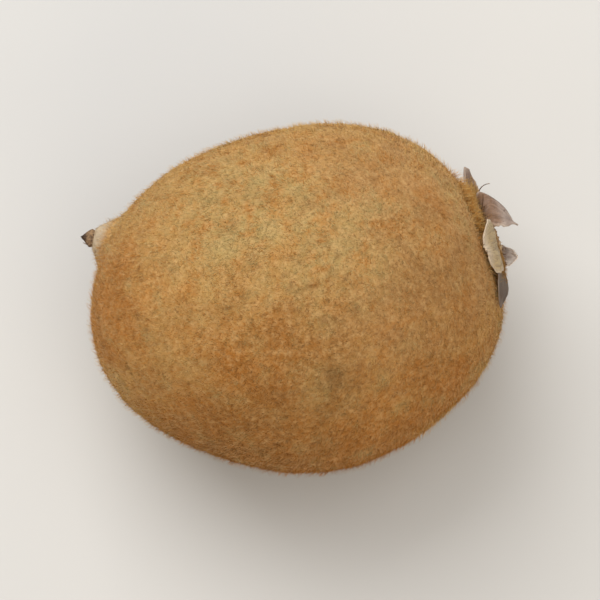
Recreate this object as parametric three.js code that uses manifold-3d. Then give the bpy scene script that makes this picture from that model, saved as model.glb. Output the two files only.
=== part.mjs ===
// A whole kiwi fruit lying on its side, in millimetres, +Z up.
// +X points to the stem end and -X to the blossom end; the wide side lies along Y.
// The origin is the bottom centre of the whole part's box, level with the flat resting spot.
import * as THREE from "three";
import { mergeVertices } from "three/addons/utils/BufferGeometryUtils.js";
import Module from "manifold-3d";

const wasm = await Module();
wasm.setup();

// ---- Driving dimensions (mm and degrees) ----
const LENGTH = 57.8;            // fruit along X, without calyx and styles
const WIDTH = 51.2;             // fruit along Y
const THICKNESS = 47.9;         // fruit along Z before the resting spot is pressed flat
const RESTING_DEPTH = 0.45;     // how far the resting spot cuts into the round underside
const BOW_DEG = 20;             // both ends are bent this far towards +Y
const END_RADIUS = 25;          // length of one radian of skin next to either end

// The outline seen from above departs from an ellipse by these waves: [count, amplitude, direction].
const OUTLINE_WAVES = [
  [1, 0.015, 26], [2, 0.038, 25.5], [3, 0.017, -57.5], [4, 0.003, -13], [5, 0.0105, -7.5],
];
const LUMP = 0.006;             // low uneven swells, as a share of the radius

const HOLLOW = { depth: 1.9, reach: 6.3 };      // at the stem end
const NIPPLE = { height: 2.9, reach: 2.9 };     // at the blossom end
const TUFT_SHIFT = -0.5;        // the tuft sits this far towards +Y from the middle of the nipple
const CRATER = { depth: 0.4, reach: 1.2 };      // under the tuft

const GAP = 0.3;                // clear space between two pieces
const STAMEN_LAYER = 0.56;      // thickness of the dried stamens under the calyx
const STAMENS = { count: 22, disc: 3.8, root: 3.0, reach: 5.0, girth: 0.27, tipGirth: 0.14 };
const RECEPTACLE = { radius: 3.6, thickness: 0.6, edge: 0.16, rim: 0.7, rimAt: 2.2, rimWidth: 0.7 };
const SEPAL_THICKNESS = 0.66;
const SEPAL_ROOT = { distance: 3.2, halfTurn: 35 };     // its root lies on an arc of the receptacle
const SEPAL_DROP = { from: 4.9, to: 6.9 };      // between these a sepal may come down to the skin
// azimuth of the root from +Y towards +Z, the tip and its width, and the belly's left edge, middle and
// right edge; places are [towards +Y, towards +Z, height over the skin] from the stem end's middle
const SEPALS = [
  { azimuth: -20, tip: [10.6, -1.3, 2.6], blunt: 0.5,
    belly: [[7.5, -2.7, 2.4], [7.6, -1.2, 1.2], [7.8, 0.8, 0.3]] },
  { azimuth: 38, tip: [0.7, 2.1, 5.8], blunt: 3.8,
    belly: [[6.6, 1, 2.1], [4.2, 2.4, 3], [1.2, 3.4, 2.5]] },
  { azimuth: 105, tip: [-2.1, 10.9, 0.4], blunt: 7,
    belly: [[1.7, 6, 1.7], [-1.8, 6.4, 1.3], [-5.2, 5.2, 1]] },
  { azimuth: 158, tip: [-9.8, 6.9, 0.3], blunt: 1.2,
    belly: [[-5.6, 7.6, 0.3], [-6.4, 5.6, 0.6], [-7, 3.2, 0.9]] },
  { azimuth: 250, tip: [-2.9, -4, 4.3], blunt: 2.4,
    belly: [[-3.6, -4, 2], [-1.8, -5, 2.5], [-0.4, -5.2, 2.8]] },
];

const TUFT_CORE = { radius: 1.1, height: 1.25, edge: 0.2 };
const STYLES = { count: 16, root: 0.85, lean: 0.7, height: 1.5, girth: 0.22, tipGirth: 0.12 };

// Rows of points along the fruit stand closer together near both ends by the crowding term.
const BODY_GRID = { along: 52, around: 76, crowding: 0.3 };
const SEPAL_GRID = { along: 14, across: 8 };
const DISC_GRID = { out: 6, around: 24 };
const WELD = 1e-5;              // points closer than this are one point

// ---- The skin as a formula ----
const Z_AXIS = new THREE.Vector3(0, 0, 1);
const radians = THREE.MathUtils.degToRad;
const hump = (distance, reach) => Math.exp(-((distance / reach) ** 2));
const smoothMax = (p, q) => (p + q + Math.hypot(p - q, 0.2)) / 2;

// A repeatable number between 0 and 1 for item i and purpose k.
function scatter(i, k) {
  const wave = Math.sin(i * 12.9898 + k * 78.233) * 43758.5453;
  return wave - Math.floor(wave);
}

// A point of the skin: t runs from the stem end (0) to the blossom end (PI), f runs round the fruit
// from +Y towards +Z. An ellipsoid with waves in its outline, bowed ends, a hollow and a nipple.
function skinPoint(t, f) {
  const n = new THREE.Vector3(Math.cos(t), Math.sin(t) * Math.cos(f), Math.sin(t) * Math.sin(f));
  n.applyAxisAngle(Z_AXIS, radians(BOW_DEG) * Math.cos(t));
  const level = Math.hypot(n.x, n.y);
  const heading = Math.atan2(n.y, n.x);
  let radius = 1;
  for (const [count, amplitude, direction] of OUTLINE_WAVES) {
    radius += amplitude * level ** count * Math.cos(count * (heading - radians(direction)));
  }
  radius += LUMP * Math.sin(3.1 * n.x + 1.3) * Math.sin(4.3 * n.y + 0.4) * Math.sin(3.7 * n.z + 0.9);
  const point = new THREE.Vector3(n.x * LENGTH, n.y * WIDTH, n.z * THICKNESS).multiplyScalar(radius / 2);
  const fromStem = t * END_RADIUS;
  const fromTip = (Math.PI - t) * END_RADIUS;
  const fromTuft = Math.hypot(fromTip * Math.cos(f) - TUFT_SHIFT, fromTip * Math.sin(f));
  const relief = NIPPLE.height * hump(fromTip, NIPPLE.reach) - CRATER.depth * hump(fromTuft, CRATER.reach)
    - HOLLOW.depth * hump(fromStem, HOLLOW.reach);
  return point.addScaledVector(point.clone().normalize(), relief);
}

// The skin near one end, by its distances a (towards +Y) and b (towards +Z) from the middle of the stem
// end or of the tuft, raised by lift along the skin's normal.
function nearEnd(end, a, b) {
  const across = end === "stem" ? a : a + TUFT_SHIFT;
  const turn = Math.hypot(across, b) / END_RADIUS;
  return skinPoint(end === "stem" ? turn : Math.PI - turn, Math.atan2(b, across));
}
function overEnd(end, a, b, lift) {
  const step = 0.05;
  const alongA = nearEnd(end, a + step, b).sub(nearEnd(end, a - step, b));
  const alongB = nearEnd(end, a, b + step).sub(nearEnd(end, a, b - step));
  const normal = alongA.cross(alongB).normalize();
  if (end === "blossom") normal.negate();
  return nearEnd(end, a, b).addScaledVector(normal, lift);
}

// ---- Closed meshes ----
function geometryOf(points, faces) {
  const geometry = new THREE.BufferGeometry();
  geometry.setAttribute("position", new THREE.Float32BufferAttribute(points.flatMap((p) => p.toArray()), 3));
  geometry.setIndex(faces.flat());
  return geometry;
}

// Closed surface of rings between two end points; ring(i) gives the points of ring i, in order.
function ringsBetween(first, rings, last) {
  const around = rings[0].length;
  const points = [first, ...rings.flat(), last];
  const faces = [];
  for (let j = 0; j < around; j += 1) {
    const next = (j + 1) % around;
    faces.push([0, 1 + j, 1 + next]);
    for (let i = 0; i + 1 < rings.length; i += 1) {
      const near = 1 + i * around;
      const far = near + around;
      faces.push([near + j, far + j, far + next], [near + j, far + next, near + next]);
    }
    const base = 1 + (rings.length - 1) * around;
    faces.push([points.length - 1, base + next, base + j]);
  }
  return geometryOf(points, faces);
}

// Slab of even thickness about a surface given on a grid of points; grid[i][j].
function slabAbout(grid, thickness) {
  const rows = grid.length;
  const columns = grid[0].length;
  const clampTo = (value, size) => Math.min(Math.max(value, 0), size - 1);
  const at = (i, j) => grid[clampTo(i, rows)][clampTo(j, columns)];
  const points = [];
  for (const side of [0.5, -0.5]) {
    for (let i = 0; i < rows; i += 1) {
      for (let j = 0; j < columns; j += 1) {
        const along = at(i + 1, j).clone().sub(at(i - 1, j));
        const across = at(i, j + 1).clone().sub(at(i, j - 1));
        const normal = along.cross(across).normalize();
        points.push(at(i, j).clone().addScaledVector(normal, side * thickness));
      }
    }
  }
  const lower = rows * columns;
  const index = (i, j) => i * columns + j;
  const faces = [];
  for (let i = 0; i + 1 < rows; i += 1) {
    for (let j = 0; j + 1 < columns; j += 1) {
      const [p, q, r, s] = [index(i, j), index(i + 1, j), index(i + 1, j + 1), index(i, j + 1)];
      faces.push([p, q, r], [p, r, s]);
      faces.push([lower + p, lower + r, lower + q], [lower + p, lower + s, lower + r]);
    }
  }
  const rim = [];
  for (let j = 0; j + 1 < columns; j += 1) rim.push(index(0, j));
  for (let i = 0; i + 1 < rows; i += 1) rim.push(index(i, columns - 1));
  for (let j = columns - 1; j > 0; j -= 1) rim.push(index(rows - 1, j));
  for (let i = rows - 1; i > 0; i -= 1) rim.push(index(i, 0));
  rim.forEach((p, k) => {
    const q = rim[(k + 1) % rim.length];
    faces.push([p, q, lower + q], [p, lower + q, lower + p]);
  });
  return geometryOf(points, faces);
}

// Disc that follows the skin at one end, between two heights given as functions of the radius.
function discOver(end, radius, low, high) {
  const { out, around } = DISC_GRID;
  const ring = (distance, lift) => Array.from({ length: around }, (_, j) => {
    const angle = (2 * Math.PI * j) / around;
    return overEnd(end, distance * Math.cos(angle), distance * Math.sin(angle), lift);
  });
  const rings = [];
  for (let i = 1; i <= out; i += 1) rings.push(ring((radius * i) / out, high((radius * i) / out)));
  for (let i = out; i >= 1; i -= 1) rings.push(ring((radius * i) / out, low((radius * i) / out)));
  return ringsBetween(overEnd(end, 0, 0, high(0)), rings, overEnd(end, 0, 0, low(0)));
}

// Tapered thread of four sides along a list of points, with a pointed tip.
function threadAlong(path, girth, tipGirth) {
  const side = new THREE.Vector3(0.31, -0.42, 0.85);
  const sections = path.slice(0, -1).map((point, i) => {
    const along = path[i + 1].clone().sub(path[Math.max(i - 1, 0)]).normalize();
    const u = side.clone().cross(along).normalize();
    const v = along.clone().cross(u);
    const half = THREE.MathUtils.lerp(girth, tipGirth, i / (path.length - 1));
    return [0, 1, 2, 3].map((k) => point.clone()
      .addScaledVector(u, half * Math.cos((k * Math.PI) / 2))
      .addScaledVector(v, half * Math.sin((k * Math.PI) / 2)));
  });
  return ringsBetween(path[0], sections, path[path.length - 1]);
}

// ---- Joining and cutting ----
function solidOf(geometry) {
  const bare = geometry.clone();
  bare.deleteAttribute("normal");
  bare.deleteAttribute("uv");
  const merged = mergeVertices(bare, WELD);
  const vertProperties = merged.attributes.position.array;
  const facing = (triVerts) => new wasm.Manifold(new wasm.Mesh({ numProp: 3, vertProperties, triVerts }));
  const triangles = new Uint32Array(merged.index.array);
  const solid = facing(triangles);
  return solid.volume() > 0 ? solid : facing(triangles.reverse());
}

function geometryFrom(solid) {
  const { vertProperties, triVerts } = solid.getMesh();
  const geometry = new THREE.BufferGeometry();
  geometry.setAttribute("position", new THREE.Float32BufferAttribute(vertProperties, 3));
  geometry.setIndex(new THREE.Uint32BufferAttribute(triVerts, 1));
  return geometry;
}

const fuse = (geometries) => geometries.map(solidOf).reduce((joined, next) => joined.add(next));

// ---- The pieces ----
const RESTING_LEVEL = -THICKNESS / 2 + RESTING_DEPTH;

function fruitBody() {
  const { along, around, crowding } = BODY_GRID;
  const turnAt = (i) => (Math.PI * i) / along - crowding * Math.sin((2 * Math.PI * i) / along);
  const ring = (t) => Array.from({ length: around }, (_, j) => skinPoint(t, (2 * Math.PI * j) / around));
  const rings = Array.from({ length: along - 1 }, (_, i) => ring(turnAt(i + 1)));
  const whole = solidOf(ringsBetween(skinPoint(0, 0), rings, skinPoint(Math.PI, 0)));
  const ground = new THREE.BoxGeometry(LENGTH, WIDTH, THICKNESS);
  ground.translate(0, 0, RESTING_LEVEL - THICKNESS / 2);
  return geometryFrom(whole.subtract(solidOf(ground)));
}

function stamenDisc() {
  const top = () => GAP + STAMEN_LAYER;
  const disc = discOver("stem", STAMENS.disc, () => GAP, top);
  const threads = Array.from({ length: STAMENS.count }, (_, i) => {
    const azimuth = (2 * Math.PI * (i + 0.5 * scatter(i, 1))) / STAMENS.count;
    const length = (STAMENS.reach - STAMENS.root) * (0.7 + 0.3 * scatter(i, 2));
    const bend = 0.5 * (scatter(i, 3) - 0.5);
    const path = [0, 0.33, 0.67, 1].map((share) => {
      const distance = STAMENS.root + length * share;
      const heading = azimuth + bend * share * share;
      const [a, b] = [distance * Math.cos(heading), distance * Math.sin(heading)];
      return overEnd("stem", a, b, GAP + STAMEN_LAYER / 2);
    });
    return threadAlong(path, STAMENS.girth, STAMENS.tipGirth);
  });
  return geometryFrom(fuse([disc, ...threads]));
}

// Height of the calyx's underside over the skin: it clears the stamens.
const CALYX_FLOOR = GAP + STAMEN_LAYER + GAP;

// The quadratic curve that passes through three points at shares 0, 1/2 and 1.
function through(share, first, middle, last) {
  const weights = [(1 - share) * (1 - 2 * share), 4 * share * (1 - share), share * (2 * share - 1)];
  return [0, 1, 2].map((k) => weights[0] * first[k] + weights[1] * middle[k] + weights[2] * last[k]);
}

// A dry sepal: a sheet through three rows of three points, its root, belly and tip, narrowed to a
// blunt tip and kept clear of the stamens and the skin.
function sepal({ azimuth, belly, tip, blunt }, index) {
  const root = [-1, 0, 1].map((side) => {
    const angle = radians(azimuth + side * SEPAL_ROOT.halfTurn);
    return [SEPAL_ROOT.distance * Math.cos(angle), SEPAL_ROOT.distance * Math.sin(angle), CALYX_FLOOR];
  });
  const [left, , right] = belly;
  const breadth = Math.hypot(...right.map((value, k) => value - left[k]));
  const across = right.map((value, k) => (blunt * (value - left[k])) / breadth);
  const end = [-0.5, 0, 0.5].map((side) => tip.map((value, k) => value + side * across[k]));
  const grid = Array.from({ length: SEPAL_GRID.along + 1 }, (_, i) => {
    const share = i / SEPAL_GRID.along;
    const taper = Math.max(Math.sqrt(1 - share ** 8), 0.3);
    return Array.from({ length: SEPAL_GRID.across + 1 }, (_unused, j) => {
      const side = 0.5 + (j / SEPAL_GRID.across - 0.5) * taper;
      const rows = [root, belly, end].map((row) => through(side, ...row));
      const [a, b, height] = through(share, ...rows);
      const out = THREE.MathUtils.smoothstep(Math.hypot(a, b), SEPAL_DROP.from, SEPAL_DROP.to);
      const floor = THREE.MathUtils.lerp(CALYX_FLOOR, GAP + 0.05, out) + SEPAL_THICKNESS / 2;
      const ripple = 0.15 * share * Math.sin(7 * share + 9 * side + index);
      return overEnd("stem", a, b, smoothMax(height + ripple, floor));
    });
  });
  return slabAbout(grid, SEPAL_THICKNESS);
}

function calyx() {
  const { radius, thickness, edge, rim, rimAt, rimWidth } = RECEPTACLE;
  const low = () => CALYX_FLOOR;
  const high = (distance) => CALYX_FLOOR + edge + thickness * Math.sqrt(1 - (distance / radius) ** 2)
    + rim * hump(distance - rimAt, rimWidth);
  return geometryFrom(fuse([discOver("stem", radius, low, high), ...SEPALS.map(sepal)]));
}

// A small pointed cone of matted styles, each leaning in to the tip.
function styleTuft() {
  const { radius, height, edge } = TUFT_CORE;
  const high = (distance) => GAP + edge + height * (1 - distance / radius);
  const core = discOver("blossom", radius, () => GAP, high);
  const threads = Array.from({ length: STYLES.count }, (_, i) => {
    const heading = i * Math.PI * (3 - Math.sqrt(5));
    const outward = Math.sqrt((i + 0.5) / STYLES.count);
    const length = STYLES.height * (0.7 + 0.3 * scatter(i, 5));
    const path = [0, 0.34, 0.67, 1].map((share) => {
      const distance = outward * (STYLES.root - STYLES.lean * share);
      const turned = heading + 0.9 * share * (scatter(i, 6) - 0.3);
      const lift = GAP + edge + length * share * (1 - 0.2 * outward * share);
      return overEnd("blossom", distance * Math.cos(turned), distance * Math.sin(turned), lift);
    });
    return threadAlong(path, STYLES.girth, STYLES.tipGirth);
  });
  return geometryFrom(fuse([core, ...threads]));
}

// ---- The object ----
function piece(name, geometry, color, roughness) {
  const material = new THREE.MeshStandardMaterial({ color, roughness, metalness: 0 });
  const mesh = new THREE.Mesh(geometry, material);
  mesh.name = name;
  return mesh;
}

const kiwi = new THREE.Group();
kiwi.add(
  piece("fruit_body", fruitBody(), 0xa87a3e, 0.9),
  piece("calyx", calyx(), 0x9c8a72, 0.85),
  piece("stamen_disc", stamenDisc(), 0x4d3626, 0.9),
  piece("style_tuft", styleTuft(), 0x43301f, 0.9),
);

const box = new THREE.Box3().setFromObject(kiwi);
const middle = box.getCenter(new THREE.Vector3());
kiwi.position.set(-middle.x, -middle.y, -box.min.z);

export default kiwi;
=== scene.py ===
"""Looks of a whole kiwi fruit: skin, fuzz, dried calyx, stamens and styles, built round its solid frame."""

import math

import bpy
import numpy as np
from bpy.props import FloatProperty, FloatVectorProperty, IntProperty, PointerProperty
from bpy.types import Operator, Panel, PropertyGroup
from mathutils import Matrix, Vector


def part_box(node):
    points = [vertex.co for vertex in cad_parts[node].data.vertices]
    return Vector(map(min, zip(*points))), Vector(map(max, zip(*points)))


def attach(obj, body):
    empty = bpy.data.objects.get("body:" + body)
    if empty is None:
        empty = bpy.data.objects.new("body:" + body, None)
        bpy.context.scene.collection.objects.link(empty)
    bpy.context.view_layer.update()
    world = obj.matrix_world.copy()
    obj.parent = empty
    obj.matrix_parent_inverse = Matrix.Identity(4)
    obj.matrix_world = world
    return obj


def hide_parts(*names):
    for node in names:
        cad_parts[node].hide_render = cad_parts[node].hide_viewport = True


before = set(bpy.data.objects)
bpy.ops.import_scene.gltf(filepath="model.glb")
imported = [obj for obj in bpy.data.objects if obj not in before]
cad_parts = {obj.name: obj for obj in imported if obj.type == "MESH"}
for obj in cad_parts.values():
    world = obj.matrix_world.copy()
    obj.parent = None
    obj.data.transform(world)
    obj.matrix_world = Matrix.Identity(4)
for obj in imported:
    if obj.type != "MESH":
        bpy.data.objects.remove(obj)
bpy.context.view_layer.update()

bl_info = {
    "name": "Kiwi Fruit",
    "version": (1, 0, 0),
    "blender": (4, 5, 0),
    "location": "3D View > Sidebar > Kiwi",
    "description": "Dresses a kiwi fruit with skin, fuzz, calyx, stamens and styles",
    "category": "Add Mesh",
}

MM = 0.001
TURN = 2 * math.pi

# ---- Shape of the fruit, in millimetres and degrees, as in the solid ----
LENGTH, WIDTH, THICKNESS = 57.8, 51.2, 47.9
RESTING_DEPTH = 0.45  # how far its underside is pressed in where it rests
BOW_DEG = 20  # turn of each end about Z
END_RADIUS = 25  # way along the skin for a turn of one radian near an end
# Waves round the outline seen from above: count, height as a share of the radius, heading
OUTLINE_WAVES = ((1, 0.015, 26), (2, 0.038, 25.5), (3, 0.017, -57.5), (4, 0.003, -13), (5, 0.0105, -7.5))
LUMP = 0.006  # height of slow lumps, as a share of the radius
HOLLOW = (1.9, 6.3)  # depth and reach, at the stem end
NIPPLE = (2.9, 2.9)  # height and reach, at the blossom end
CRATER = (0.4, 1.2)  # depth and reach, under the styles
TUFT_SHIFT = -0.5  # the styles' middle from the nipple's, towards +Y
GAP = 0.3  # between neighbouring solids
STAMEN_LAYER = 0.56  # thickness of the solid stamen disc
CALYX_FLOOR = GAP + STAMEN_LAYER + GAP
SCAR = {"radius": 3.6, "thickness": 0.6, "edge": 0.16, "rim": 0.7, "rim_at": 2.2, "rim_width": 0.7}
SOLID_SEPAL = 0.66  # thickness of a solid sepal
SEPAL_ROOT = (3.2, 35)  # distance of the roots, half of the turn that each one takes
SEPAL_DROP = (4.9, 6.9)  # where the sepals' lowest place falls to the skin
# azimuth, tip, width of the tip, belly's left edge, middle and right edge, within 0.4 mm of the solid's
SEPALS = (
    (-20, (10.6, -1.3, 2.6), 0.5, ((7.5, -2.7, 2.4), (7.6, -1.2, 1.2), (7.8, 0.8, 0.3))),
    (38, (0.4, 2.1, 5.75), 4.2, ((6.6, 1, 2.1), (4.2, 2.4, 3), (0.9, 3.4, 2.6))),
    (105, (-2.1, 10.9, 0.4), 7, ((1.7, 6, 1.7), (-1.8, 6.4, 1.3), (-5.2, 5.2, 1))),
    (158, (-9.8, 6.9, 0.3), 1.2, ((-5.6, 7.6, 0.3), (-6.4, 5.6, 0.6), (-7, 3.2, 0.9))),
    (250, (-2.9, -4, 4.3), 2.4, ((-3.6, -4, 2), (-1.8, -5, 2.5), (-0.4, -5.2, 2.8))),
)
TUFT = {"radius": 1.1, "height": 1.25, "edge": 0.2}

# ---- What the looks add, in millimetres ----
SKIN_INSET = 0.3  # the skin lies this far inside the solid, whose surface is mid-fuzz
SKIN_ABOVE_GROUND = 0.08  # the fruit rests on its pressed fuzz
BARE_TIP = 2.6  # reach of the bare nipple
BEDDED = -0.6  # undersides of the pads, below the solid's surface
# Threads that stand out between the sepals: three places each, as for a sepal
STRAY_THREADS = (
    ((5.4, -0.5, 1.2), (7.1, -0.8, 2.4), (7.3, -1.0, 4.1)),
    ((-1.0, -5.2, 1.0), (-0.6, -6.3, 2.2), (-1.4, -6.6, 3.6)),
    ((3.6, 4.4, 1.1), (4.8, 5.6, 1.9), (5.2, 6.6, 2.2)),
)

# ---- Sepals: one entry for each ----
SEPAL_TAPER = (0.95, 0.62, 0.88, 0.88, 0.6)  # how far each is rounded off at its tip, 1 for a full round
SEPAL_CORNER = (0.1, 0.15, 0.04, 0.04, 0.03)  # share of its length by which each is shorter at its corners
# How downy each is, how far along its down reaches, and how dark the down is
SEPAL_DOWN = ((1, 0.75, 0.3), (0.6, 0.5, 0.55), (0.2, 0.5, 0.55), (0.4, 0.5, 0.55), (0.5, 0.5, 0.55))
# Colours of root, middle and tip, where the first ends and the last starts, strength of the pale edge
SEPAL_LOOKS = (
    ("hazel", "plum", "plum", 0.5, 0.74, 0.4),
    ("brown", "dusk", "heather", 0.54, 0.85, 0.35),
    ("cream", "tan", "tan", 0.3, 0.5, 0.5),
    # The fourth sepal lies low against the skin: its dark umber and grey are partly its own colour and partly
    # painted shade
    ("umber", "grey", "umber", 0.25, 0.7, 0.1),
    # The fifth sepal's mauve is partly its own pale colour and partly painted light, as if light shone
    # through it
    ("plum", "mauve", "mauve", 0.62, 0.9, 0.5),
)

# ---- Hairs, in millimetres and degrees ----
FAMILIES = 5  # of hair colours
HIGHEST_FUZZ = 1.0  # no hair stands further off the skin than this
# Longer brown hairs round the calyx, thickest about one heading
COLLAR = {"at": 6.2, "reach": 2.6, "highest": 2.4, "heading": 30, "spread": 40}

BLACK, WHITE = (0, 0, 0), (1, 1, 1)

# ---- Colour regions of skin and fuzz ----
# Seed of the uneven edges, then each region's middle, about the fruit's middle, its reach and strength
REGIONS = {
    "olive": (21, ((-7, 7, 20), 12, 1), ((5, 4, 22), 11, 1), ((3, -16, 18), 5, 0.8), ((-5, 14, -16), 13, 1)),
    "russet": (31, ((-26, -3, 8), 9, 1.4), ((-10, -25, 5), 15, 1.4), ((5, -26, 2), 18, 1.4),
               ((-5, -14, 18), 10, 1.1), ((20, -14, 8), 8, 1.4), ((0, -8, -22), 14, 1.4)),
    "rosy": (51, ((13, 12, 17), 12, 1), ((22, 4, 12), 12, 1), ((15, -4, 19), 10, 1), ((-16, 10, -14), 12, 1)),
    # Painted shade, not a colour of the skin: darker skin and fuzz on the top towards the front, low at the
    # front and on the right
    "deep": (71, ((2, -11, 20), 12, 1), ((-6, -22, 8), 13, 1), ((17, -1, 17), 9, 1)),
    "scar": (91, ((5, -14.5, 18.6), 1.8, 1), ((3, -15.5, 18.2), 1.2, 0.9)),
}
DRIFT = 0.6  # strength of the slow change from warm to cool tones all over


def hump(distance, reach):
    """A bell curve of the distance, 1 in the middle."""
    return np.exp(-((distance / reach) ** 2))


def smooth_step(value, low, high):
    """0 below low, 1 above high, and an even S between them."""
    share = np.clip((value - low) / (high - low), 0, 1)
    return share * share * (3 - 2 * share)


def unit(vectors):
    """Vectors of length 1 in the same directions."""
    return vectors / np.maximum(np.linalg.norm(vectors, axis=-1, keepdims=True), 1e-12)


def swells(points, seed, waves, length, height):
    """Uneven bumps: a sum of sine waves in random directions, each about one length long."""
    rng = np.random.default_rng(seed)
    headings = unit(rng.normal(size=(waves, 3)))
    numbers = TURN / (length * rng.uniform(0.7, 1.4, waves))
    phases = rng.uniform(0, TURN, waves)
    total = np.sin(points @ (headings * numbers[:, None]).T + phases).sum(-1)
    return height * total / math.sqrt(waves)


def skin_point(t, f):
    """Points of the smooth skin, in millimetres about the fruit's middle.

    t runs from the stem end (0) to the blossom end (pi), f round the fruit from +Y towards +Z. The
    direction (cos t, sin t cos f, sin t sin f) is turned about Z by the bow times cos t and stretched
    to the three sizes, with waves round its outline, then a hollow and a nipple are added at the ends.
    """
    turn = math.radians(BOW_DEG) * np.cos(t)
    x, y, z = np.cos(t), np.sin(t) * np.cos(f), np.sin(t) * np.sin(f)
    x, y = x * np.cos(turn) - y * np.sin(turn), x * np.sin(turn) + y * np.cos(turn)
    radius = 1 + LUMP * np.sin(3.1 * x + 1.3) * np.sin(4.3 * y + 0.4) * np.sin(3.7 * z + 0.9)
    flat, heading = np.hypot(x, y), np.arctan2(y, x)
    for count, height, direction in OUTLINE_WAVES:
        radius = radius + height * flat ** count * np.cos(count * (heading - math.radians(direction)))
    point = np.stack([x * LENGTH, y * WIDTH, z * THICKNESS], -1) * (radius / 2)[..., None]
    from_stem, from_tip = t * END_RADIUS, (math.pi - t) * END_RADIUS
    from_tuft = np.hypot(from_tip * np.cos(f) - TUFT_SHIFT, from_tip * np.sin(f))
    relief = (NIPPLE[0] * hump(from_tip, NIPPLE[1]) - CRATER[0] * hump(from_tuft, CRATER[1])
              - HOLLOW[0] * hump(from_stem, HOLLOW[1]))
    return point + unit(point) * relief[..., None]


def inset_skin(t, f):
    """The smooth skin drawn in by SKIN_INSET, so that the fuzz on it reaches the solid's surface.

    The bare nipple is drawn in by a quarter of it.
    """
    point = skin_point(t, f)
    inset = SKIN_INSET * (1 - 0.75 * hump((math.pi - t) * END_RADIUS, BARE_TIP))
    return point - inset[..., None] * unit(point)


def near_end(end, a, b):
    """The smooth skin at distances a (towards +Y) and b (towards +Z) from the stem end's or tuft's middle."""
    across = a if end == "stem" else a + TUFT_SHIFT
    turn = np.hypot(across, b) / END_RADIUS
    return skin_point(turn if end == "stem" else math.pi - turn, np.arctan2(b, across))


def over_end(end, a, b, lift, step=0.05):
    """near_end raised by lift along the skin's normal."""
    along_a = near_end(end, a + step, b) - near_end(end, a - step, b)
    along_b = near_end(end, a, b + step) - near_end(end, a, b - step)
    normal = unit(np.cross(along_a, along_b)) * (1 if end == "stem" else -1)
    return near_end(end, a, b) + normal * np.asarray(lift)[..., None]


def body_offset(fine=400):
    """Moves the fruit's middle to its place in the frame: the solid body's box, down to the ground."""
    t, f = np.meshgrid(np.linspace(0, math.pi, fine), np.linspace(0, TURN, fine))
    points = skin_point(t, f).reshape(-1, 3)
    low, high = (np.array(corner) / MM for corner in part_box("fruit_body"))
    middle = (low + high) / 2 - (points.min(0) + points.max(0)) / 2
    return np.array([middle[0], middle[1], THICKNESS / 2 - RESTING_DEPTH])


OFFSET = body_offset()


def through(share, first, middle, last):
    """The quadratic curve that passes through three places at shares 0, 1/2 and 1."""
    share = np.asarray(share)[..., None]
    return ((1 - share) * (1 - 2 * share) * first + 4 * share * (1 - share) * middle
            + share * (2 * share - 1) * last)


def region(points, name):
    """The strongest of some round regions, its edge broken up by uneven bumps."""
    seed, *places = REGIONS[name]
    strongest = np.zeros(points.shape[:-1])
    for middle, reach, strength in places:
        away = np.linalg.norm(points - np.array(middle), axis=-1)
        strongest = np.maximum(strongest, strength * hump(away, reach))
    uneven = strongest + swells(points, seed, 16, 7, 0.16) + swells(points, seed + 1, 24, 2.2, 0.1)
    return np.clip(uneven, 0, 1)


def marks(points):
    """Levels at points of the skin, each 0 to 1: olive, russet and rosy colours, regions of painted shade,
    and specks.

    Olive shows over russet and rosy, and small russet blotches show over all of them.
    """
    blotch = swells(points, 61, 80, 1.7, 1) + swells(points, 62, 30, 4.5, 0.5)
    blotch = 0.6 * smooth_step(blotch, -0.1, 1.9)
    drift = swells(points, 81, 60, 5, 1)
    warm, cool = (DRIFT * smooth_step(side, 0, 1.5) for side in (drift, -drift))
    olive = np.maximum(region(points, "olive"), cool) * (1 - blotch)
    russet = np.maximum(region(points, "russet") * (1 - 0.6 * olive), warm)
    speck = smooth_step(swells(points, 41, 40, 1.9, 1), 1.25, 1.9)
    return {
        "olive": olive,
        "russet": np.maximum(russet, blotch),
        "rosy": region(points, "rosy") * (1 - 0.5 * olive) * (1 - blotch),
        "deep": region(points, "deep"),
        "speck": np.maximum(speck, region(points, "scar")),
    }


# ---- Meshes ----
def new_object(name, data):
    """A new object in the scene."""
    made = bpy.data.objects.new(name, data)
    bpy.context.scene.collection.objects.link(made)
    return made


def add_piece(name, points, faces, material, stands_for, uv=None, uv_name="OFBake", levels=None):
    """One finished piece from points in millimetres about the fruit's middle and arrays of faces.

    uv is a map by point, and levels are named numbers by point, which its material may read.
    """
    mesh = bpy.data.meshes.new(name)
    corners = np.concatenate([part.ravel() for part in faces]).astype(np.int32)
    totals = np.concatenate([np.full(len(part), part.shape[1]) for part in faces]).astype(np.int32)
    mesh.vertices.add(len(points))
    mesh.vertices.foreach_set("co", ((points + OFFSET) * MM).astype(np.float32).ravel())
    mesh.loops.add(len(corners))
    mesh.loops.foreach_set("vertex_index", corners)
    mesh.polygons.add(len(totals))
    mesh.polygons.foreach_set("loop_start", (np.cumsum(totals) - totals).astype(np.int32))
    if uv is not None:
        layer = mesh.uv_layers.new(name=uv_name)
        layer.uv.foreach_set("vector", uv[corners].astype(np.float32).ravel())
    for attribute, values in (levels or {}).items():
        mesh.attributes.new(attribute, "FLOAT", "POINT").data.foreach_set("value", values.astype(np.float32))
    mesh.update(calc_edges=True)
    mesh.validate()
    mesh.shade_smooth()
    mesh.materials.append(material)
    piece = new_object(name, mesh)
    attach(piece, "root")
    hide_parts(stands_for)


def grid_faces(rows, columns, closed=False):
    """Quads of a grid of points, counted row by row; closed joins the last column to the first."""
    i, j = np.meshgrid(np.arange(rows - 1), np.arange(columns if closed else columns - 1), indexing="ij")
    near, far = i * columns, (i + 1) * columns
    after = (j + 1) % columns
    return np.stack([near + j, far + j, far + after, near + after], -1).reshape(-1, 4)


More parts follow.
